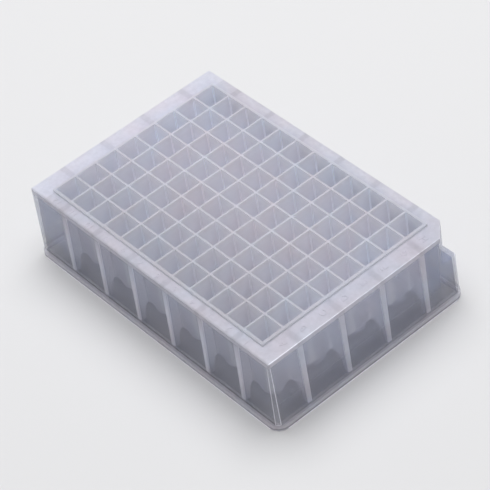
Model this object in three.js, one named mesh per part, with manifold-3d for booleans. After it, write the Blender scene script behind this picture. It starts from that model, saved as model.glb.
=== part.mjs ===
// A deep-well plate with square, round-bottomed wells, moulded in one piece.
// Millimetres, +Z up. The origin is at the centre of the footprint, on the surface that
// the plate stands on. Columns run along X, rows along Y, and the keyed corner is at +X +Y.

import * as THREE from 'three';
import { ConvexGeometry } from 'three/addons/geometries/ConvexGeometry.js';
import { mergeVertices } from 'three/addons/utils/BufferGeometryUtils.js';
import Module from 'manifold-3d';

// Wells
const wellColumns = 12;
const wellRows = 8;
const wellPitch = 9;
const wellMouth = 8.3; // across the flats at the rim
const wellFoot = 7.7; // across the flats where the round bottom begins
const wellCorner = 0.3; // the corners are cut back by this along each side
const wellRoundRadius = 3.75; // inside radius of the round bottom
const wellFloorWall = 1.1; // thickness at the lowest point of a well

// Well block: the moulding that the wells are sunk into
const plateHeight = 31.6;
const blockRim = 1; // wall round the outermost wells, at the rim
const blockDraft = 0.35; // the block's sides lean in by this on their way down
const blockFloorHeight = 8.1; // the shared walls end here and the separate bottoms begin
const bottomRadius = 4.4; // outside radius of each round bottom
const bottomHeight = 2.2; // lowest point of the bottoms above the surface

// Deck: the flat shelf round the well block
const deckLength = 123.7;
const deckWidth = 81.9;
const deckDrop = 1; // from the rim down to the deck
const deckThickness = 1.7;

// Skirt and foot
const footLength = 127.76;
const footWidth = 85.48;
const footHeight = 2.3;
const footLedge = 1.05; // how far the foot stands out from the skirt
const footCornerRadius = 4.7;
const skirtWall = 1.1;
const stackingClearance = 0.25; // the foot of one plate drops round the deck of the next
const stackingHeadroom = 0.2; // and leaves this between its wells and that plate's rim

// Ribs between the well block and the skirt, in line with every second well wall
const ribSpacing = 2; // in wells
const ribTopThickness = 2.2;
const ribBottomThickness = 1.5;
const ribWebHeight = 8.5; // lower edge of the web
const ribTongueHeight = 1.8; // lower end of the tongue that runs down the skirt
const ribTongueTopDepth = 2.6; // from the skirt's inner face, where the tongue leaves the web
const ribTongueEndDepth = 1.8;
const ribFilletRadius = 2.4;

// Keyed corner
const keyLeg = 5.9; // along each side of the deck
const keyFloorHeight = 18.7;
const keyFloorThickness = 1.2;

// Fineness of the faceted curves
const roundRings = 2; // rings of facets between a well's walls and its lowest point
const filletSteps = 3;
const cornerSteps = 4;

// Bodies that are joined run into each other by this, and cutters run past the faces they cut
const overrun = 1;

const deckHeight = plateHeight - deckDrop;
const deckUnderside = deckHeight - deckThickness;
const skirtFootLength = footLength - 2 * footLedge;
const skirtFootWidth = footWidth - 2 * footLedge;
const skirtFootRadius = footCornerRadius - footLedge;
const stackingDepth = bottomHeight - deckDrop - stackingHeadroom;
const wellSpanX = (wellColumns - 1) * wellPitch;
const wellSpanY = (wellRows - 1) * wellPitch;
const blockLength = wellSpanX + wellMouth + 2 * blockRim;
const blockWidth = wellSpanY + wellMouth + 2 * blockRim;
const octagonCut = 2 - Math.SQRT2; // corner cut of a regular octagon, per unit of half width

const { degToRad, mapLinear } = THREE.MathUtils;
const wasm = await Module();
wasm.setup();

function solid(geometry) {
  const bare = geometry.clone();
  bare.deleteAttribute('normal');
  bare.deleteAttribute('uv');
  const merged = mergeVertices(bare, 1e-5);
  return new wasm.Manifold(new wasm.Mesh({
    numProp: 3,
    vertProperties: Float32Array.from(merged.attributes.position.array),
    triVerts: Uint32Array.from(merged.index.array),
  }));
}

// A level outline: a rectangle about the Z axis with its corners cut back by `cut`.
function section(length, width, height, cut = 0) {
  const points = [];
  for (const [sideX, sideY] of [[1, 1], [-1, 1], [-1, -1], [1, -1]]) {
    points.push(new THREE.Vector3(sideX * length / 2, sideY * (width / 2 - cut), height));
    points.push(new THREE.Vector3(sideX * (length / 2 - cut), sideY * width / 2, height));
  }
  return points;
}

// A level outline: a rectangle about the Z axis with rounded corners.
function roundedSection(length, width, height, radius) {
  const points = [];
  const cornerAngles = [[1, 1, 0], [-1, 1, 90], [-1, -1, 180], [1, -1, 270]];
  for (const [sideX, sideY, startAngle] of cornerAngles) {
    for (let step = 0; step <= cornerSteps; step += 1) {
      const angle = degToRad(startAngle + 90 * step / cornerSteps);
      const x = sideX * (length / 2 - radius) + radius * Math.cos(angle);
      const y = sideY * (width / 2 - radius) + radius * Math.sin(angle);
      points.push(new THREE.Vector3(x, y, height));
    }
  }
  return points;
}

// The convex solid that runs through a stack of outlines.
function loft(...outlines) {
  return solid(new ConvexGeometry(outlines.flat()));
}

// The octagonal rings of a round bottom, closed by its lowest point.
function roundBottom(radius, lowest) {
  const outlines = [[new THREE.Vector3(0, 0, lowest)]];
  for (let ring = 1; ring <= roundRings; ring += 1) {
    const angle = Math.PI / 2 * ring / (roundRings + 1);
    const halfWidth = radius * Math.cos(angle);
    const height = lowest + radius * (1 - Math.sin(angle));
    outlines.push(section(2 * halfWidth, 2 * halfWidth, height, octagonCut * halfWidth));
  }
  return outlines;
}

function wellCentres() {
  const centres = [];
  for (let column = 0; column < wellColumns; column += 1) {
    for (let row = 0; row < wellRows; row += 1) {
      centres.push([column * wellPitch - wellSpanX / 2, row * wellPitch - wellSpanY / 2]);
    }
  }
  return centres;
}

function atEveryWell(body) {
  return wasm.Manifold.union(wellCentres().map(([x, y]) => body.translate([x, y, 0])));
}

// One well's hollow: a square that draws in on its way down and turns into a round bottom.
function wellHollow() {
  const above = plateHeight + overrun;
  const mouthAbove = mapLinear(above, blockFloorHeight, plateHeight, wellFoot, wellMouth);
  return loft(
    section(mouthAbove, mouthAbove, above, wellCorner),
    section(wellFoot, wellFoot, blockFloorHeight, wellCorner),
    ...roundBottom(wellRoundRadius, bottomHeight + wellFloorWall),
  );
}

// The outside of one well below the block's floor: its square share of the block made round.
function wellBottom() {
  return loft(
    section(wellPitch, wellPitch, blockFloorHeight + overrun),
    section(wellPitch, wellPitch, blockFloorHeight),
    ...roundBottom(bottomRadius, bottomHeight),
  );
}

function wellBlock() {
  const body = loft(
    section(blockLength - 2 * blockDraft, blockWidth - 2 * blockDraft, blockFloorHeight),
    section(blockLength, blockWidth, plateHeight),
  );
  return body.add(atEveryWell(wellBottom()));
}

// The corner that the key takes away, from `floor` up, with its slanting face moved in by `wall`.
function keyCorner(floor, wall) {
  const reach = keyLeg + footLength - deckLength + overrun;
  const inset = wall * Math.SQRT2;
  const corner = new THREE.Shape();
  corner.moveTo(deckLength / 2 - keyLeg - inset - reach, deckWidth / 2 + reach);
  corner.lineTo(deckLength / 2 + reach, deckWidth / 2 - keyLeg - inset - reach);
  corner.lineTo(deckLength / 2 + reach, deckWidth / 2 + reach);
  corner.closePath();
  const geometry = new THREE.ExtrudeGeometry(corner, { depth: plateHeight - floor, bevelEnabled: false });
  return solid(geometry.translate(0, 0, floor));
}

// Skirt, foot and deck: an open-bottomed shell with leaning walls. The skirt's corners are
// sharp at the deck and open out into the foot's round ones.
function shell() {
  const outside = loft(
    roundedSection(skirtFootLength, skirtFootWidth, 0, skirtFootRadius),
    roundedSection(skirtFootLength, skirtFootWidth, footHeight, skirtFootRadius),
    section(deckLength, deckWidth, deckHeight),
  );
  const foot = loft(
    roundedSection(footLength, footWidth, 0, footCornerRadius),
    roundedSection(footLength, footWidth, footHeight, footCornerRadius),
  );
  const hollowLength = skirtFootLength - 2 * skirtWall;
  const hollowWidth = skirtFootWidth - 2 * skirtWall;
  const hollowRadius = skirtFootRadius - skirtWall;
  const atDeckUnderside = (low, high) => mapLinear(deckUnderside, footHeight, deckHeight, low, high);
  const hollow = loft(
    roundedSection(hollowLength, hollowWidth, -overrun, hollowRadius),
    roundedSection(hollowLength, hollowWidth, footHeight, hollowRadius),
    section(
      atDeckUnderside(skirtFootLength, deckLength) - 2 * skirtWall,
      atDeckUnderside(skirtFootWidth, deckWidth) - 2 * skirtWall,
      deckUnderside,
    ),
  );
  const recessLength = deckLength + 2 * stackingClearance;
  const recessWidth = deckWidth + 2 * stackingClearance;
  const stackingRecess = loft(
    section(recessLength, recessWidth, -overrun),
    section(recessLength, recessWidth, stackingDepth),
  );
  return outside.subtract(keyCorner(keyFloorHeight, 0))
    .add(foot)
    .subtract(hollow.subtract(keyCorner(keyFloorHeight - keyFloorThickness, skirtWall)))
    .subtract(stackingRecess);
}

// A rib on the +X side: a web from the block to the skirt that runs down it as a tongue.
function rib(blockFace, skirtTop, skirtFoot) {
  const skirtFace = (level) => mapLinear(level, footHeight, deckHeight, skirtFoot, skirtTop) - skirtWall;
  const inSkirt = skirtWall / 2;
  const inBlock = blockFace - blockDraft - blockRim / 2;
  const ceiling = deckUnderside + deckThickness / 2;
  const tongueTop = skirtFace(ribWebHeight) - ribTongueTopDepth;
  const tongueEnd = skirtFace(ribTongueHeight) - ribTongueEndDepth;
  const profile = new THREE.Shape();
  profile.moveTo(inBlock, ceiling);
  profile.lineTo(inBlock, ribWebHeight);
  profile.absarc(
    tongueTop - ribFilletRadius, ribWebHeight - ribFilletRadius, ribFilletRadius,
    Math.PI / 2, 0, true,
  );
  profile.lineTo(tongueEnd, ribTongueHeight);
  profile.lineTo(skirtFace(ribTongueHeight) + inSkirt, ribTongueHeight);
  profile.lineTo(skirtFace(ceiling) + inSkirt, ceiling);
  profile.closePath();
  const geometry = new THREE.ExtrudeGeometry(profile, {
    depth: 1, bevelEnabled: false, curveSegments: filletSteps,
  });
  geometry.translate(0, 0, -0.5);
  geometry.rotateX(Math.PI / 2);
  const position = geometry.attributes.position;
  for (let i = 0; i < position.count; i += 1) {
    const thickness = mapLinear(position.getZ(i), 0, deckUnderside, ribBottomThickness, ribTopThickness);
    position.setY(i, position.getY(i) * thickness);
  }
  return solid(geometry);
}

function ribs() {
  const endRib = rib(blockLength / 2, deckLength / 2, skirtFootLength / 2);
  const sideRib = rib(blockWidth / 2, deckWidth / 2, skirtFootWidth / 2);
  const all = [];
  for (let wall = 1; wall < wellRows; wall += ribSpacing) {
    const y = wall * wellPitch - wellSpanY / 2 - wellPitch / 2;
    all.push(endRib.translate([0, y, 0]), endRib.rotate([0, 0, 180]).translate([0, y, 0]));
  }
  for (let wall = 1; wall < wellColumns; wall += ribSpacing) {
    const x = wall * wellPitch - wellSpanX / 2 - wellPitch / 2;
    all.push(sideRib.rotate([0, 0, 90]).translate([x, 0, 0]));
    all.push(sideRib.rotate([0, 0, -90]).translate([x, 0, 0]));
  }
  return wasm.Manifold.union(all);
}

function plateGeometry() {
  const plate = shell().add(ribs()).add(wellBlock()).subtract(atEveryWell(wellHollow()));
  const { vertProperties, triVerts } = plate.getMesh();
  const geometry = new THREE.BufferGeometry();
  geometry.setAttribute('position', new THREE.BufferAttribute(vertProperties, 3));
  geometry.setIndex(new THREE.BufferAttribute(triVerts, 1));
  geometry.computeVertexNormals();
  return geometry;
}

const polypropylene = new THREE.MeshStandardMaterial({
  color: 0xc9cad6, roughness: 0.38, metalness: 0, transparent: true, opacity: 0.8,
});

const wellPlate = new THREE.Mesh(plateGeometry(), polypropylene);
wellPlate.name = 'well_plate';

const group = new THREE.Group();
group.add(wellPlate);

export default group;
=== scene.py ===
import math

import bmesh
import bpy
from mathutils import Matrix, Quaternion, Vector


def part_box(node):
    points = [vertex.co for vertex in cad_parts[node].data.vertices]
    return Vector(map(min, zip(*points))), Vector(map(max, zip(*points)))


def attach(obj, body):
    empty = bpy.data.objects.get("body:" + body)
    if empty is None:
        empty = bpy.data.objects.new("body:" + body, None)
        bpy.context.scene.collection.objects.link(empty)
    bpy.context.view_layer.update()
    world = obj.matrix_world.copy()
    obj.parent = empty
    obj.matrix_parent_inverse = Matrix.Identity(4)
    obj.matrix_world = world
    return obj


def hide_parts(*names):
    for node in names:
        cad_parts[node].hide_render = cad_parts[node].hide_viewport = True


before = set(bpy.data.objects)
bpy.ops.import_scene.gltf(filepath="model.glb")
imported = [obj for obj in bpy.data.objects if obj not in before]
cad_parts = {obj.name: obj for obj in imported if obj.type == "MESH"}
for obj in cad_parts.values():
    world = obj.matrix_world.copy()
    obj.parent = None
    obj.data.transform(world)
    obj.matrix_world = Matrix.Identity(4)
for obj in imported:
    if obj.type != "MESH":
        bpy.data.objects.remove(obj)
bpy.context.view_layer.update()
print("frame loaded")

millimetre = 0.001
lowCorner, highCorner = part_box("well_plate")
plateHeight = (highCorner.z - lowCorner.z) / millimetre
footHalfX = (highCorner.x - lowCorner.x) / 2 / millimetre
footHalfY = (highCorner.y - lowCorner.y) / 2 / millimetre


# Mesh helpers. Everything is modelled in millimetres and scaled down once, at the end.

cornerSteps = 4  # facets in each rounded corner of an outline
quarters = [(1, 1), (-1, 1), (-1, -1), (1, -1)]


def roundedOutline(halfX, halfY, radius):
    points = []
    for quarter, (sideX, sideY) in enumerate(quarters):
        for step in range(cornerSteps + 1):
            angle = math.radians(90 * (quarter + step / cornerSteps))
            points.append(Vector((
                sideX * (halfX - radius) + radius * math.cos(angle),
                sideY * (halfY - radius) + radius * math.sin(angle),
            )))
    return points


def keyedOutline(halfX, halfY, radius, keyReach):
    points = roundedOutline(halfX, halfY, radius)  # x + y stays under keyReach
    start = Vector((halfX, keyReach - halfX))
    end = Vector((keyReach - halfY, halfY))
    for step in range(cornerSteps + 1):
        points[step] = start.lerp(end, step / cornerSteps)
    return points


def circleOutline(radius):
    count = len(quarters) * (cornerSteps + 1)
    return [
        Vector((radius, 0)) @ Matrix.Rotation(-2 * math.pi * (i + 0.5) / count, 2)
        for i in range(count)
    ]


def mixOutlines(first, second, share):
    return [a.lerp(b, share) for a, b in zip(first, second)]


def ringEdges(bm, ring):
    return [bm.edges.get(pair) for pair in zip(ring, ring[1:] + ring[:1])]


def startRing(bm, points, height):
    ring = bmesh.ops.create_circle(bm, segments=len(points), radius=1)["verts"]
    for vert, point in zip(ring, points):
        vert.co = (point.x, point.y, height)
    return ring


def growRing(bm, ring, points, height, soften=0.0):
    grown = bmesh.ops.extrude_edge_only(bm, edges=ringEdges(bm, ring))["geom"]
    fresh = {item for item in grown if isinstance(item, bmesh.types.BMVert)}
    newRing = []
    for vert, point in zip(ring, points):
        partner = next(e.other_vert(vert) for e in vert.link_edges if e.other_vert(vert) in fresh)
        partner.co = (point.x, point.y, height)
        newRing.append(partner)
    softenRing(bm, newRing, soften)
    return newRing


def softenRing(bm, ring, soften):
    weight = bm.edges.layers.float.get("bevel_weight_edge")
    for edge in ringEdges(bm, ring):
        edge[weight] = soften / plate["softest"]


def growFunnel(bm, ring, outline, radius, top, bottom, shares):
    # from an outline towards a circle
    for share in shares:
        height = top + (bottom - top) * share
        ring = growRing(bm, ring, mixOutlines(outline, circleOutline(radius), share), height)
    return ring


def growBowl(bm, ring, radius, centre, turns, lowest):
    # from a circle down to one point
    for turn in turns:
        angle = math.radians(turn)
        outline = circleOutline(radius * math.cos(angle))
        ring = growRing(bm, ring, outline, centre - radius * math.sin(angle))
    growRing(bm, ring, circleOutline(0), lowest)


def fillBetween(bm, edges):
    bmesh.ops.triangle_fill(bm, use_beauty=True, edges=edges)


def newMesh():
    bm = bmesh.new()
    bm.edges.layers.float.new("bevel_weight_edge")
    return bm


def asMesh(bm, name):
    mesh = bpy.data.meshes.new(name)
    bm.to_mesh(mesh)
    bm.free()
    return mesh


def addCopy(bm, mesh, place):
    first = len(bm.verts)
    bm.from_mesh(mesh)
    bm.verts.ensure_lookup_table()
    bmesh.ops.transform(bm, matrix=place, verts=bm.verts[first:])


def turnedTo(turn, x, y, z=0):
    return Matrix.Translation((x, y, z)) @ Matrix.Rotation(math.radians(turn), 4, "Z")


# The plate

plate = {
    "wellColumns": 12,
    "wellRows": 8,
    "wellPitch": 9.0,
    "wellMouth": 8.3,
    "wellFoot": 7.7,
    "wellCorner": 0.3,
    "wellRound": 3.75,
    "wellFloorWall": 1.1,
    "wellFunnel": (0.35, 0.75),  # where the square well turns round, from 0 to 1
    "wellFunnelEnd": 0.6,  # above the round floor's widest ring
    "wellBowl": (12, 27, 42, 57, 74),  # degrees round the floor
    "blockRim": 1.0,
    "blockDraft": 0.35,
    "blockFloor": 8.1,
    "blockCorner": 0.4,
    "bottomRound": 4.4,
    "bottomHeight": 2.2,
    "bottomStart": 0.9,  # corner radius where a bottom leaves the block
    "bottomSpacing": 0.04,  # between two bottoms
    "bottomFunnel": (0.4, 0.8),
    "bottomBowl": (0, 15, 30, 45, 60, 75),
    "deckHalfX": 61.85,
    "deckHalfY": 40.95,
    "deckDrop": 1.0,
    "deckWall": 1.7,
    "deckCorner": 0.5,
    "skirtCorner": 1.9,  # where the skirt stands on the foot
    "skirtWall": 1.1,
    "footHeight": 2.3,
    "footLedge": 1.05,
    "footCorner": 4.7,
    "stackingGap": 0.25,
    "stackingDepth": 1.0,
    "stackingCorner": 1.5,
    "keyLeg": 5.9,
    "keyFloor": 18.7,
    "keyFloorWall": 1.2,
    "softest": 0.5,  # the widest softened edge
    "softDeck": 0.5,
    "softRim": 0.25,
    "softMouth": 0.12,
    "softFoot": 0.25,
}
same = 0.001  # points closer than this are one
deckHeight = plateHeight - plate["deckDrop"]
underside = deckHeight - plate["deckWall"]
footX, footY = footHalfX - plate["footLedge"], footHalfY - plate["footLedge"]


def wellPlace(index, count):
    return (index - (count - 1) / 2) * plate["wellPitch"]


def blockHalf(count):
    # from the plate's middle to the last mouth's outside
    return ((count - 1) * plate["wellPitch"] + plate["wellMouth"]) / 2


wellsX, wellsY = blockHalf(plate["wellColumns"]), blockHalf(plate["wellRows"])
blockX, blockY = wellsX + plate["blockRim"], wellsY + plate["blockRim"]


def skirtShare(height):
    # 0 where the skirt stands on the foot, 1 at the deck
    return (height - plate["footHeight"]) / (deckHeight - plate["footHeight"])


def squareShare(bm, height):
    # the square round one well, as loose edges
    halfPitch = plate["wellPitch"] / 2
    verts = bmesh.ops.create_grid(bm, x_segments=1, y_segments=1, size=halfPitch)["verts"]
    bmesh.ops.translate(bm, verts=verts, vec=(0, 0, height))
    edges = list({edge for vert in verts for edge in vert.link_edges})
    bmesh.ops.delete(bm, geom=list(verts[0].link_faces), context="FACES_ONLY")
    return edges


def wellCell():
    bm = newMesh()
    mouth, foot, corner = plate["wellMouth"] / 2, plate["wellFoot"] / 2, plate["wellCorner"]
    blockFloor, inside = plate["blockFloor"], plate["wellRound"]
    floorTop = plate["bottomHeight"] + plate["wellFloorWall"]
    square = squareShare(bm, plateHeight)
    ring = startRing(bm, roundedOutline(mouth, mouth, corner), plateHeight)
    softenRing(bm, ring, plate["softMouth"])
    fillBetween(bm, square + ringEdges(bm, ring))
    footOutline = roundedOutline(foot, foot, corner)
    bend = floorTop + inside
    ring = growRing(bm, ring, footOutline, blockFloor)
    funnelEnd = bend - plate["wellFunnelEnd"]
    ring = growFunnel(bm, ring, footOutline, inside, blockFloor, funnelEnd, plate["wellFunnel"])
    growBowl(bm, ring, inside, bend, plate["wellBowl"], floorTop)

    outside = plate["bottomRound"]
    centre = plate["bottomHeight"] + outside
    square = squareShare(bm, blockFloor)
    half = (plate["wellPitch"] - plate["bottomSpacing"]) / 2
    bottomOutline = roundedOutline(half, half, plate["bottomStart"])
    ring = startRing(bm, bottomOutline, blockFloor)
    fillBetween(bm, square + ringEdges(bm, ring))
    ring = growFunnel(bm, ring, bottomOutline, outside, blockFloor, centre, plate["bottomFunnel"])
    growBowl(bm, ring, outside, centre, plate["bottomBowl"], plate["bottomHeight"])
    return asMesh(bm, "wellCell")


def wellField(bm):
    cell = wellCell()
    for column in range(plate["wellColumns"]):
        for row in range(plate["wellRows"]):
            x, y = wellPlace(column, plate["wellColumns"]), wellPlace(row, plate["wellRows"])
            addCopy(bm, cell, Matrix.Translation((x, y, 0)))
    bpy.data.meshes.remove(cell)
    bmesh.ops.remove_doubles(bm, verts=bm.verts, dist=same)


def openEdges(bm, height):
    return [
        edge for edge in bm.edges
        if edge.is_boundary and all(abs(vert.co.z - height) < same for vert in edge.verts)
    ]


def shell(bm):
    deckX, deckY = plate["deckHalfX"], plate["deckHalfY"]
    keyReach = deckX + deckY - plate["keyLeg"]
    innerReach = keyReach - plate["skirtWall"] * math.sqrt(2)
    wall, draft, blockCorner = plate["skirtWall"], plate["blockDraft"], plate["blockCorner"]

    def skirt(height, inwards=0.0):
        share = skirtShare(height)
        radius = plate["skirtCorner"] + (plate["deckCorner"] - plate["skirtCorner"]) * share
        return (
            footX + (deckX - footX) * share - inwards,
            footY + (deckY - footY) * share - inwards,
            max(radius - inwards, plate["deckCorner"]),
        )

    topEdges = openEdges(bm, plateHeight)
    ring = startRing(bm, roundedOutline(blockX, blockY, blockCorner), plateHeight)
    softenRing(bm, ring, plate["softRim"])
    fillBetween(bm, topEdges + ringEdges(bm, ring))
    ring = growRing(bm, ring, roundedOutline(blockX, blockY, blockCorner), deckHeight)
    deckOutline = keyedOutline(*skirt(deckHeight), keyReach)
    ring = growRing(bm, ring, deckOutline, deckHeight, plate["softDeck"])
    ring = growRing(bm, ring, keyedOutline(*skirt(plate["keyFloor"]), keyReach), plate["keyFloor"])
    ring = growRing(bm, ring, roundedOutline(*skirt(plate["keyFloor"])), plate["keyFloor"])
    ring = growRing(bm, ring, roundedOutline(*skirt(plate["footHeight"])), plate["footHeight"])
    footOutline = roundedOutline(footHalfX, footHalfY, plate["footCorner"])
    ring = growRing(bm, ring, footOutline, plate["footHeight"], plate["softFoot"])
    ring = growRing(bm, ring, footOutline, 0, plate["softFoot"])
    gap = plate["stackingGap"]
    recess = roundedOutline(deckX + gap, deckY + gap, plate["stackingCorner"])
    ring = growRing(bm, ring, recess, 0)
    ring = growRing(bm, ring, recess, plate["stackingDepth"])
    inner = roundedOutline(*skirt(plate["footHeight"], wall))
    ring = growRing(bm, ring, inner, plate["stackingDepth"])
    ring = growRing(bm, ring, inner, plate["footHeight"])
    keyCeiling = plate["keyFloor"] - plate["keyFloorWall"]
    ring = growRing(bm, ring, roundedOutline(*skirt(keyCeiling, wall)), keyCeiling)
    ring = growRing(bm, ring, keyedOutline(*skirt(keyCeiling, wall), innerReach), keyCeiling)
    ring = growRing(bm, ring, keyedOutline(*skirt(underside, wall), innerReach), underside)
    ring = growRing(bm, ring, roundedOutline(blockX, blockY, blockCorner), underside)
    bottomEdges = openEdges(bm, plate["blockFloor"])
    floorOutline = roundedOutline(blockX - draft, blockY - draft, blockCorner)
    ring = growRing(bm, ring, floorOutline, plate["blockFloor"], plate["softRim"])
    fillBetween(bm, bottomEdges + ringEdges(bm, ring))
    bmesh.ops.remove_doubles(bm, verts=bm.verts, dist=same)


# Ribs between the well block and the skirt

ribs = {
    "spacing": 2,  # in wells
    "topThickness": 2.2,
    "bottomThickness": 1.5,
    "webHeight": 8.5,
    "tongueHeight": 1.8,
    "tongueTopDepth": 2.6,
    "tongueEndDepth": 1.8,
    "fillet": 2.4,
    "filletSteps": 8,
    "inWall": 0.45,
    "soften": 0.3,
    "softLean": 0.2,  # the most that a softened edge leans across the rib
}


def ribThickness(height):
    spread = ribs["topThickness"] - ribs["bottomThickness"]
    return ribs["bottomThickness"] + spread * height / underside


def ribMesh(blockFace, skirtTop, skirtFoot):
    bm = newMesh()
    inWall, webHeight, low = ribs["inWall"], ribs["webHeight"], ribs["tongueHeight"]
    ceiling = underside + inWall

    def skirtFace(height):
        return skirtFoot + (skirtTop - skirtFoot) * skirtShare(height) - plate["skirtWall"]

    corners = [
        (blockFace - inWall, ceiling),
        (blockFace - plate["blockDraft"] - inWall, webHeight),
        (skirtFace(webHeight) - ribs["tongueTopDepth"], webHeight),
        (skirtFace(low) - ribs["tongueEndDepth"], low),
        (skirtFace(low) + inWall, low),
        (skirtFace(ceiling) + inWall, ceiling),
    ]
    verts = [bm.verts.new((x, 0, z)) for x, z in corners]
    bm.faces.new(verts)
    bmesh.ops.bevel(
        bm, geom=[verts[2]], affect="VERTICES", offset=ribs["fillet"],
        segments=ribs["filletSteps"], profile=0.5, material=-1,
    )
    thick = bmesh.ops.extrude_face_region(bm, geom=list(bm.faces))["geom"]
    moved = [item for item in thick if isinstance(item, bmesh.types.BMVert)]
    bmesh.ops.translate(bm, verts=moved, vec=(0, 1, 0))
    bmesh.ops.translate(bm, verts=bm.verts, vec=(0, -0.5, 0))
    for vert in bm.verts:
        vert.co.y *= ribThickness(vert.co.z)
    weight = bm.edges.layers.float.get("bevel_weight_edge")
    for edge in bm.edges:
        sideEdge = abs(edge.verts[0].co.y - edge.verts[1].co.y) < ribs["softLean"]
        if sideEdge and max(vert.co.z for vert in edge.verts) < underside:
            edge[weight] = ribs["soften"] / plate["softest"]
    bmesh.ops.recalc_face_normals(bm, faces=bm.faces)
    return asMesh(bm, "rib")


def allRibs():
    bm = newMesh()
    endRib = ribMesh(blockX, plate["deckHalfX"], footX)
    sideRib = ribMesh(blockY, plate["deckHalfY"], footY)
    for wall in range(1, plate["wellRows"], ribs["spacing"]):
        y = wellPlace(wall - 0.5, plate["wellRows"])
        for turn in (0, 180):
            addCopy(bm, endRib, turnedTo(turn, 0, y))
    for wall in range(1, plate["wellColumns"], ribs["spacing"]):
        x = wellPlace(wall - 0.5, plate["wellColumns"])
        for turn in (90, -90):
            addCopy(bm, sideRib, turnedTo(turn, x, 0))
    return asMesh(bm, "ribs")


sharpTurn = 40  # degrees between faces that meet in a sharp edge


def finishPiece(bm, name):
    bmesh.ops.scale(bm, verts=bm.verts, vec=(millimetre,) * 3)
    mesh = asMesh(bm, name)
    piece = bpy.data.objects.new(name, mesh)
    bpy.context.scene.collection.objects.link(piece)
    mesh.shade_smooth()
    mesh.set_sharp_from_angle(angle=math.radians(sharpTurn))
    return piece


def buildPlate():
    bm = newMesh()
    wellField(bm)
    shell(bm)
    bmesh.ops.recalc_face_normals(bm, faces=bm.faces)
    print("open edges", sum(edge.is_boundary for edge in bm.edges), "of", len(bm.edges))
    bm.from_mesh(allRibs())
    piece = finishPiece(bm, "plateMoulding")
    soft = piece.modifiers.new("softEdges", "BEVEL")
    soft.limit_method = "WEIGHT"
    soft.width = plate["softest"] * millimetre
    soft.segments = 3
    soft.use_clamp_overlap = True
    evenLight = piece.modifiers.new("evenLight", "WEIGHTED_NORMAL")
    evenLight.keep_sharp = True
    return piece


plateMoulding = buildPlate()
print("plate built")


# Material


class Wire:
    # a socket that adds its own Math nodes where it is used in an expression
    def __init__(self, tree, socket):
        self.tree = tree
        self.socket = socket

    def maths(self, operation, *values):
        inputs = dict(enumerate(values))
        return addNode(self.tree, "ShaderNodeMath", {"operation": operation}, inputs)

    def __add__(self, other):
        return self.maths("ADD", self, other)

    def __sub__(self, other):
        return self.maths("SUBTRACT", self, other)

    def __mul__(self, other):
        return self.maths("MULTIPLY", self, other)

    def __truediv__(self, other):
        return self.maths("DIVIDE", self, other)

    def __radd__(self, other):
        return self.maths("ADD", other, self)

    def __rsub__(self, other):
        return self.maths("SUBTRACT", other, self)

    def __rmul__(self, other):
        return self.maths("MULTIPLY", other, self)

    def size(self):
        return self.maths("ABSOLUTE", self)

    def above(self, level, softness=0.0001):
        # 0 below the level and 1 above it, with a soft step between
        settings = {"operation": "MULTIPLY_ADD", "use_clamp": True}
        steepness = 0.5 / softness
        values = {0: self, 1: steepness, 2: 0.5 - level * steepness}
        return addNode(self.tree, "ShaderNodeMath", settings, values)

    def clamped(self):
        return self.maths("MINIMUM", self.maths("MAXIMUM", self, 0), 1)

    def highest(self, other):
        return self.maths("MAXIMUM", self, other)

    def fromRepeat(self, half):
        # how far from the nearest multiple of twice half
        return self.maths("WRAP", self, half, -half).size()


def addNode(tree, kind, settings=None, values=None, output=0):
    node = tree.nodes.new(kind)
    for name, value in (settings or {}).items():
        setattr(node, name, value)
    for name, value in (values or {}).items():
        if isinstance(value, Wire):
            tree.links.new(value.socket, node.inputs[name])
        else:
            node.inputs[name].default_value = value
    return Wire(tree, node.outputs[output])


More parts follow.
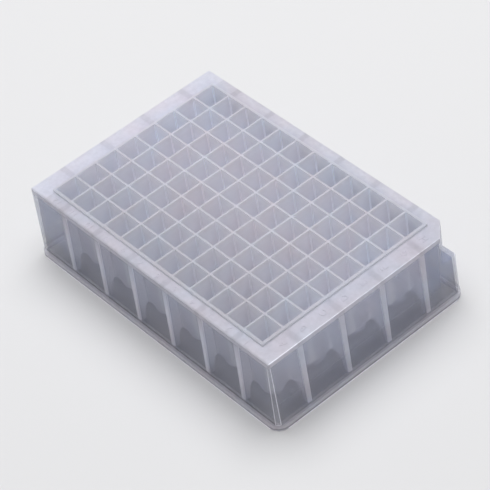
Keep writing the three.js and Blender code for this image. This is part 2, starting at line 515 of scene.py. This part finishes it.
moulding = {  # lengths in millimetres
    # painted shade: the deck is coloured darker than the wells of the same plastic, to balance the
    # light on top against the shade in the wells
    "deckColour": (0.64, 0.63, 0.70, 1),
    "wellColour": (0.968, 0.962, 0.982, 1),
    "outerWellColour": (0.93, 0.955, 0.995, 1),
    "outerWells": 1.5,  # how far in the outer wells' colour reaches
    "topColour": (0.73, 0.73, 0.78, 1),
    # painted shade: the skirt is coloured darker than the rest of the moulding
    "skirtColour": (0.30, 0.31, 0.40, 1),
    "endColour": (0.20, 0.25, 0.42, 1),  # painted shade on the skirt beyond the last ribs
    "lowColour": (0.11, 0.12, 0.18, 1),  # painted shade on the skirt's lower part
    "footColour": (0.86, 0.84, 0.90, 1),
    # painted shade in the stacking recess under the foot
    "recessColour": (0.14, 0.13, 0.17, 1),
    "cornerColour": (0.55, 0.56, 0.65, 1),  # the skirt's upright corner edges
    "warmTint": (1.0, 0.97, 0.982, 1),
    "coolTint": (0.935, 0.968, 1.0, 1),
    "deckAlpha": 0.80,
    "wellAlpha": 0.78,
    "skirtAlpha": 0.30,
    "endAlpha": 0.36,
    "lowTop": 10.0,
    "lowFade": 2.5,
    "recessAlpha": 0.55,
    "cornerAlpha": 0.32,
    "footAlpha": 0.42,
    "ribAlpha": 0.90,
    "jointColour": (0.95, 0.95, 1.0, 1),  # the end of a rib, inside the skirt, and the painted highlight line down the skirt's upright corners
    "ribEndAndHighlightAlpha": 0.85,
    "bottomAlpha": 1.0,
    "bottomTop": 4.2,
    "scatterColour": (0.945, 0.938, 0.97, 1),
    "deckGlow": 0.38,  # the share of light that passes on, scattered
    "wellGlow": 0.55,
    "skirtGlow": 0.2,
    "roughness": 0.30,
    "roughnessSpread": 0.12,
    "refraction": 1.49,
    "cloudsPerMetre": 95,
    "flecksPerMetre": 600,
    "cloudFade": 0.15,
    "bumpStrength": 0.25,
    "bumpDistance": 0.0001,
    "bandDarkening": 0.17,  # where a rib meets the deck
    "bandHalfWidth": 1.15,
    "grooveDarkening": 0.42,  # painted shade round the foot of the raised well block
    "edgeDarkening": 0.36,  # painted shade where the deck rolls over on the side of row A
    "rowDarkening": 0.11,  # painted shade on the wells towards row A
    "rowFade": (1.5, 5),  # in wells: from where, and over how many
    "columnDarkening": 0.05,  # painted shade on the wells towards column 1
    "columnFade": (-3.5, 9),
    "faceDarkening": 0.22,  # painted shade on the block's long outer faces
    "farEndLightening": 0.18,  # painted light on the deck beyond column 12
    "mottling": 0.10,
    "mottlingMiddle": 0.9,
    "deckMottling": 0.32,
    "cornerGleam": 0.075,  # painted highlight: emission on the wells' corners, standing in for light gathered in thick corners
    # painted highlight along the deck's edge beyond column 1
    "edgeGleam": 0.26,
    "dimShare": 0.35,  # of the painted edge highlight, far from the corner by well A1
    # painted light: faceGleam, bottomGleam and ribGleam make the block's outer faces, the dome
    # bottoms and the ribs glow, less on the long faces
    "faceGleam": 0.09,
    "longFaceDimming": 0.75,
    "bottomGleam": 0.04,
    "ribGleam": 0.055,
    # painted highlight on the foot's lowest edge
    "footGleam": 0.22,
    # painted highlight line down the skirt's upright corners
    "lineGleam": 0.14,
    "gleamBlue": 1.06,
}


def noise(tree, place, perMetre, detail):
    values = {"Vector": place, "Scale": perMetre, "Detail": detail}
    return addNode(tree, "ShaderNodeTexNoise", {"noise_dimensions": "3D"}, values)


def mixColour(tree, share, first, second, blend="MIX"):
    settings = {"data_type": "RGBA", "blend_type": blend}
    return addNode(tree, "ShaderNodeMix", settings, {0: share, 6: first, 7: second}, output=2)


bounds = {  # in millimetres, where the zones of the moulding begin or fade
    "blockMargin": 0.1,
    "keyWall": 1.7,
    "faceMargin": 0.1,
    "wellCornerWidth": 0.46,
    "wellCornerFade": 0.08,
    "blockWall": 0.25,
    "deckEdge": 0.28,
    "deckEdgeHeight": 0.32,
    "rollCentre": 0.5,
    "rollFade": 0.45,
    "rimStart": 0.2,
    "topDepth": 0.12,
    "footEdge": 0.12,
    "footEdgeHeight": 0.45,
    "cornerWidth": 1.2,
    "uprightStart": 0.8,
    "uprightFade": 0.13,
    "longFace": 0.6,
    "bottomFade": 0.5,
    "recessStart": 0.4,
    "jointFade": 0.1,
    "jointDepth": 0.75,
    "bandFade": 0.35,
    "grooveHeight": 0.5,
    "brightStart": 15,
    "brightFade": 14,
}
uprightNarrowing = 0.035  # for each millimetre of height


def zones(tree, place):
    # which part of the moulding a point belongs to, as masks from 0 to 1
    x, y, z = (
        addNode(tree, "ShaderNodeSeparateXYZ", values={0: place}, output=axis) for axis in range(3)
    )
    size = {name: value * millimetre for name, value in {**plate, **bounds}.items()
            if isinstance(value, (int, float))}
    pitch = size["wellPitch"]
    halfX, halfY = wellsX * millimetre, wellsY * millimetre
    margin = size["blockRim"] + size["blockMargin"]
    pastEnd = (x.size() - halfX - margin).above(0)
    pastSide = (y.size() - halfY - margin).above(0)
    outsideBlock = pastEnd.highest(pastSide)
    pastWells = (x.size() - halfX).highest(y.size() - halfY)
    deckTop = deckHeight * millimetre
    deckFoot = underside * millimetre - size["faceMargin"]
    deck = z.above(deckFoot)
    top = z.above(plateHeight * millimetre - size["topDepth"])

    blockWall = (1 - outsideBlock) * pastWells.above(size["blockWall"])
    rimWall = blockWall * z.above(deckTop - size["rimStart"])
    spread = (plate["wellMouth"] - plate["wellFoot"]) / (plateHeight - plate["blockFloor"])
    cornerStart = size["wellFoot"] - size["blockFloor"] * spread - size["wellCornerWidth"]
    inWell = (x - pitch / 2).fromRepeat(pitch / 2) + (y - pitch / 2).fromRepeat(pitch / 2)
    nearCorner = (inWell - z * spread).above(cornerStart, size["wellCornerFade"])

    fromRibX, fromRibY = (x - pitch).fromRepeat(pitch), (y - pitch).fromRepeat(pitch)
    fromRib = fromRibY + pastSide * (fromRibX - fromRibY + pastEnd * pitch)
    ribSpread = ribs["topThickness"] - ribs["bottomThickness"]
    thickness = ribs["bottomThickness"] + ribSpread * z / deckFoot
    ribHalf = thickness * (millimetre / 2)

    innerX, innerY = (half * millimetre - size["skirtWall"] for half in (footX, footY))
    lean = (footX - plate["deckHalfX"]) / (plateHeight - plate["footHeight"])
    pastSkirt = (x.size() - innerX).highest(y.size() - innerY) + z * lean
    pastKey = x + y - (size["deckHalfX"] + size["deckHalfY"] - size["keyLeg"] - size["keyWall"])
    pastCorner = x.size() + y.size() + z * (2 * lean) - (innerX + innerY)
    skirt = pastSkirt.highest(pastKey).highest(pastCorner + size["cornerWidth"]).above(0)
    upright = (pastCorner - z * uprightNarrowing).above(size["uprightStart"], size["uprightFade"])
    upright = upright * z.above(size["footHeight"] + size["faceMargin"])
    blockEndX = plate["wellColumns"] / 2 * pitch
    lastRibX, lastRibY = blockEndX - pitch, (plate["wellRows"] / 2 - 1) * pitch
    endBay = (x.size() - lastRibX).above(millimetre) * (y.size() - lastRibY).above(millimetre)
    byFirstWell = (x - y - lastRibX - lastRibY).above(millimetre)

    pastDeckX = x - (size["deckHalfX"] - size["deckEdge"])
    pastDeckY = y * -1 - (size["deckHalfY"] - size["rollCentre"])
    pastFootX = x.size() - (footHalfX * millimetre - size["footEdge"])
    pastFootY = y.size() - (footHalfY * millimetre - size["footEdge"])
    # painted shade: marks the skirt's lower part for its darker colour
    low = 1 - z.above(moulding["lowTop"] * millimetre, moulding["lowFade"] * millimetre)
    bottomTop = 1 - z.above(moulding["bottomTop"] * millimetre, size["bottomFade"])
    bandHalf = moulding["bandHalfWidth"] * millimetre
    rowStart, rowWells = moulding["rowFade"]
    columnStart, columnWells = moulding["columnFade"]
    bright = (y * -1).above(size["brightStart"], size["brightFade"])
    return {
        "deck": deck,
        "top": top,
        "outsideBlock": outsideBlock,
        "skirt": skirt,
        "upright": upright,
        # painted highlight line down the skirt's upright corners
        "uprightHighlight": upright * (1 - upright) * 4,
        "end": endBay * (1 - byFirstWell),
        "low": low,
        "foot": skirt * (1 - z.above(size["footHeight"] + size["faceMargin"] / 2)),
        # painted highlight on the foot's lowest edge
        "footEdge": pastFootX.highest(pastFootY).above(0) * (1 - z.above(size["footEdgeHeight"])),
        "outerFace": blockWall * (1 - deck),
        "outerWells": (pastWells + moulding["outerWells"] * pitch).above(0, pitch),
        "rib": outsideBlock * (1 - skirt) * (1 - deck),
        "bottom": (1 - outsideBlock) * bottomTop,
        "recess": z.above(size["recessStart"])
        * (1 - z.above(size["stackingDepth"] + size["faceMargin"])),
        "joint": (1 - (fromRib - ribHalf).above(size["jointFade"]))
        * (1 - pastSkirt.above(size["jointDepth"])),
        # painted highlight on the deck's edge beyond column 1
        "edge": pastDeckX.above(0) * z.above(deckTop - size["deckEdgeHeight"]),
        "brightEnd": moulding["dimShare"] + (1 - moulding["dimShare"]) * bright,
        # painted shade where the deck rolls over on the side of row A
        "longEdge": pastDeckY.above(0, size["rollFade"]),
        "longFace": (y.size() - halfY + size["longFace"]).above(0),
        # painted shade: the light falls off towards row A and column 1
        "nearRow": ((rowStart * pitch - y) / (rowWells * pitch)).clamped(),
        "nearColumn": ((x - columnStart * pitch) / (columnWells * pitch)).clamped(),
        "farEnd": (x * -1 - blockEndX).above(0),
        "band": outsideBlock * (1 - fromRib.above(bandHalf, size["bandFade"])),
        # painted highlight lines down the wells' corners
        "wellCorner": (1 - outsideBlock) * (1 - top) * nearCorner * (1 - rimWall),
        # painted shade in the crease round the foot of the raised well block
        "groove": rimWall * (1 - z.above(deckTop + size["grooveHeight"])),
    }


def layered(start, layers):
    # each layer covers what is under it by its share
    for share, value in layers:
        start = start + share * (value - start)
    return start


def polypropylene():
    material = bpy.data.materials.new("polypropylene")
    material.use_nodes = True
    tree = material.node_tree
    place = addNode(tree, "ShaderNodeTexCoord", output="Object")
    zone = zones(tree, place)
    clouds = noise(tree, place, moulding["cloudsPerMetre"], 1)
    flecks = noise(tree, place, moulding["flecksPerMetre"], 3)
    onDeck = zone["deck"] * zone["outsideBlock"]
    inBlock = 1 - zone["outsideBlock"]
    lowSkirt = zone["skirt"] * (1 - zone["deck"])
    wells = moulding["wellColour"], moulding["outerWellColour"]
    colour = mixColour(tree, zone["outerWells"], *wells)
    for share, name in (
        # painted shade: the deck's darker colour
        (onDeck, "deckColour"),
        (zone["top"], "topColour"),
        # painted shade: the skirt's dark colours
        (lowSkirt, "skirtColour"),
        (lowSkirt * zone["end"], "endColour"),
        (lowSkirt * zone["low"], "lowColour"),
        (lowSkirt * zone["joint"], "jointColour"),
        (lowSkirt * zone["upright"], "cornerColour"),
        (lowSkirt * zone["uprightHighlight"], "jointColour"),
        (zone["foot"], "footColour"),
        (zone["recess"], "recessColour"),
    ):
        colour = mixColour(tree, share, colour, moulding[name])
    cloudy = clouds.above(0.5, moulding["cloudFade"])
    tint = mixColour(tree, cloudy, moulding["coolTint"], moulding["warmTint"])
    colour = mixColour(tree, 1.0, colour, tint, "MULTIPLY")
    shade = 1 - zone["deck"] * zone["band"] * moulding["bandDarkening"]
    for share, name in (
        (zone["groove"], "grooveDarkening"),
        (zone["deck"] * zone["longEdge"], "edgeDarkening"),
        # painted shade on the block's long outer faces
        (zone["outerFace"] * zone["longFace"], "faceDarkening"),
        (inBlock * zone["nearRow"] * zone["nearRow"], "rowDarkening"),
        (inBlock * zone["nearColumn"], "columnDarkening"),
        (flecks + clouds - moulding["mottlingMiddle"], "mottling"),
        (onDeck * (flecks - 0.5), "deckMottling"),
        # painted light: the deck beyond column 12 is lighter
        (onDeck * zone["farEnd"] * -1, "farEndLightening"),
    ):
        shade = shade * (1 - share * moulding[name])
    grey = addNode(tree, "ShaderNodeCombineColor", values={0: shade, 1: shade, 2: shade})
    colour = mixColour(tree, 1.0, colour, grey, "MULTIPLY")

    skirtAlpha = layered(moulding["skirtAlpha"], (
        (zone["end"], moulding["endAlpha"]),
        (zone["joint"], moulding["ribEndAndHighlightAlpha"]),
        (zone["upright"], moulding["cornerAlpha"]),
        (zone["uprightHighlight"], moulding["ribEndAndHighlightAlpha"]),
    ))
    alpha = layered(moulding["wellAlpha"], (
        (zone["outsideBlock"], moulding["ribAlpha"]),
        (zone["skirt"], skirtAlpha),
        (zone["foot"], moulding["footAlpha"]),
        (zone["recess"], moulding["recessAlpha"]),
        (zone["bottom"], moulding["bottomAlpha"]),
        (zone["deck"], moulding["deckAlpha"]),
    ))
    # the painted highlights are opaque
    solid = zone["wellCorner"].highest(zone["edge"]).highest(zone["footEdge"])
    alpha = alpha.highest(solid)
    # painted light: the gleam feeds the emission, a glow and highlights painted on the moulding
    gleam = zone["wellCorner"] * moulding["cornerGleam"]
    for share, name in (
        (zone["edge"] * zone["brightEnd"], "edgeGleam"),
        (zone["outerFace"] * (1 - moulding["longFaceDimming"] * zone["longFace"]), "faceGleam"),
        (zone["footEdge"], "footGleam"),
        (zone["bottom"], "bottomGleam"),
        (zone["rib"].highest(lowSkirt * zone["joint"]), "ribGleam"),
        (lowSkirt * zone["uprightHighlight"], "lineGleam"),
    ):
        gleam = gleam + share * moulding[name]

    blue = gleam * moulding["gleamBlue"]
    lit = addNode(tree, "ShaderNodeCombineColor", values={0: gleam, 1: gleam, 2: blue})
    bumpValues = {
        "Strength": moulding["bumpStrength"],
        "Distance": moulding["bumpDistance"],
        "Height": flecks,
    }
    bump = addNode(tree, "ShaderNodeBump", values=bumpValues)
    shader = tree.nodes["Principled BSDF"]
    for wire, name in (
        (colour, "Base Color"),
        (moulding["roughness"] + moulding["roughnessSpread"] * flecks, "Roughness"),
        (alpha, "Alpha"),
        (lit, "Emission Color"),
        (bump, "Normal"),
    ):
        tree.links.new(wire.socket, shader.inputs[name])
    shader.inputs["IOR"].default_value = moulding["refraction"]
    shader.inputs["Emission Strength"].default_value = 1.0

    glow = layered(moulding["wellGlow"], (
        (lowSkirt, moulding["skirtGlow"]),
        (onDeck, moulding["deckGlow"]),
    ))
    glow = glow * (1 - solid.highest(zone["bottom"]))
    scattered = addNode(tree, "ShaderNodeBsdfTranslucent", values={0: moulding["scatterColour"]})
    clear = addNode(tree, "ShaderNodeBsdfTransparent")
    hazed = addNode(tree, "ShaderNodeMixShader", values={0: alpha, 1: clear, 2: scattered})
    surface = Wire(tree, shader.outputs[0])
    whole = addNode(tree, "ShaderNodeMixShader", values={0: glow, 1: surface, 2: hazed})
    tree.links.new(whole.socket, tree.nodes["Material Output"].inputs["Surface"])
    return material


plateMoulding.data.materials.append(polypropylene())
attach(plateMoulding, "root")
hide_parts("well_plate")


# Row letters and column numbers beside the wells

marks = {
    "size": 3.6,
    "raised": 0.12,
    "sunk": 0.01,
    "rowInset": 3.6,  # from the deck's edge to the middle of a character
    "columnInset": 2.1,
    "turn": 180,  # read from the long side away from row A
}


def markMesh(text):
    font = bpy.data.curves.new("mark", "FONT")
    font.body = text
    font.size = marks["size"]
    font.align_x = "CENTER"
    font.align_y = "CENTER"
    font.extrude = marks["raised"] / 2
    font.resolution_u = 3
    letter = bpy.data.objects.new("mark", font)
    mesh = bpy.data.meshes.new_from_object(letter)
    bpy.data.objects.remove(letter)
    bpy.data.curves.remove(font)
    return mesh


def buildMarks():
    bm = bmesh.new()
    placed = []
    for row in range(plate["wellRows"]):
        y = wellPlace(row, plate["wellRows"])
        placed.append((chr(ord("A") + row), plate["deckHalfX"] - marks["rowInset"], y))
    for column in range(plate["wellColumns"]):
        x = -wellPlace(column, plate["wellColumns"])
        placed.append((str(column + 1), x, marks["columnInset"] - plate["deckHalfY"]))
    middle = deckHeight + marks["raised"] / 2 - marks["sunk"]
    for text, x, y in placed:
        mesh = markMesh(text)
        addCopy(bm, mesh, turnedTo(marks["turn"], x, y, middle))
        bpy.data.meshes.remove(mesh)
    return finishPiece(bm, "gridMarks")


gridMarks = buildMarks()
gridMarks.data.materials.append(plateMoulding.data.materials[0])
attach(gridMarks, "root")
print("marks built")


# Floor, light and camera

studio = {
    "floorColour": (0.68, 0.68, 0.69, 1),
    "floorHalf": 3.0,
    "floorRoughness": 0.9,
    "floorDrop": 0.00005,
    "worldColour": (1, 1, 1, 1),
    "worldStrength": 0.30,
    "keyPlace": (-0.2, 0.2, 1.3),
    "keySize": 1.2,
    "keyPower": 20.5,
}


def buildFloor():
    bm = bmesh.new()
    bmesh.ops.create_grid(bm, x_segments=1, y_segments=1, size=studio["floorHalf"])
    mesh = asMesh(bm, "floor")
    floor = bpy.data.objects.new("floor", mesh)
    bpy.context.scene.collection.objects.link(floor)
    floor.location.z = lowCorner.z - studio["floorDrop"]
    material = bpy.data.materials.new("paleFloor")
    material.use_nodes = True
    shader = material.node_tree.nodes["Principled BSDF"]
    shader.inputs["Base Color"].default_value = studio["floorColour"]
    shader.inputs["Roughness"].default_value = studio["floorRoughness"]
    mesh.materials.append(material)


def buildLights():
    world = bpy.data.worlds.new("studioWorld")
    world.use_nodes = True
    background = world.node_tree.nodes["Background"]
    background.inputs["Color"].default_value = studio["worldColour"]
    background.inputs["Strength"].default_value = studio["worldStrength"]
    bpy.context.scene.world = world
    key = bpy.data.lights.new("keyLight", "AREA")
    key.shape = "SQUARE"
    key.size = studio["keySize"]
    key.energy = studio["keyPower"]
    lamp = bpy.data.objects.new("keyLight", key)
    lamp.location = studio["keyPlace"]
    lamp.rotation_mode = "QUATERNION"
    lamp.rotation_quaternion = (-Vector(studio["keyPlace"])).to_track_quat("-Z", "Y")
    bpy.context.scene.collection.objects.link(lamp)


view = {
    "place": (0.4894, -0.3339, 0.5788),
    "aim": (0.00278, -0.00105, 0.0158),
    "roll": 10.01,  # degrees, clockwise from upright
    "lens": 176.2,
    "sensor": 36,
    "nearest": 0.01,
}


def buildCamera():
    data = bpy.data.cameras.new("camera")
    data.lens = view["lens"]
    data.sensor_width = view["sensor"]
    data.clip_start = view["nearest"]
    camera = bpy.data.objects.new("camera", data)
    camera.location = view["place"]
    gaze = Vector(view["aim"]) - Vector(view["place"])
    upright = gaze.to_track_quat("-Z", "Y")
    lean = Quaternion((0, 0, 1), math.radians(-view["roll"]))
    camera.rotation_mode = "QUATERNION"
    camera.rotation_quaternion = upright @ lean
    bpy.context.scene.collection.objects.link(camera)
    bpy.context.scene.camera = camera


buildFloor()
buildLights()
buildCamera()
scene = bpy.context.scene
scene.view_settings.view_transform = "Standard"
scene.cycles.diffuse_bounces = 6  # light passes many thin walls before it leaves the wells
scene.cycles.transparent_max_bounces = 14
print("studio built")
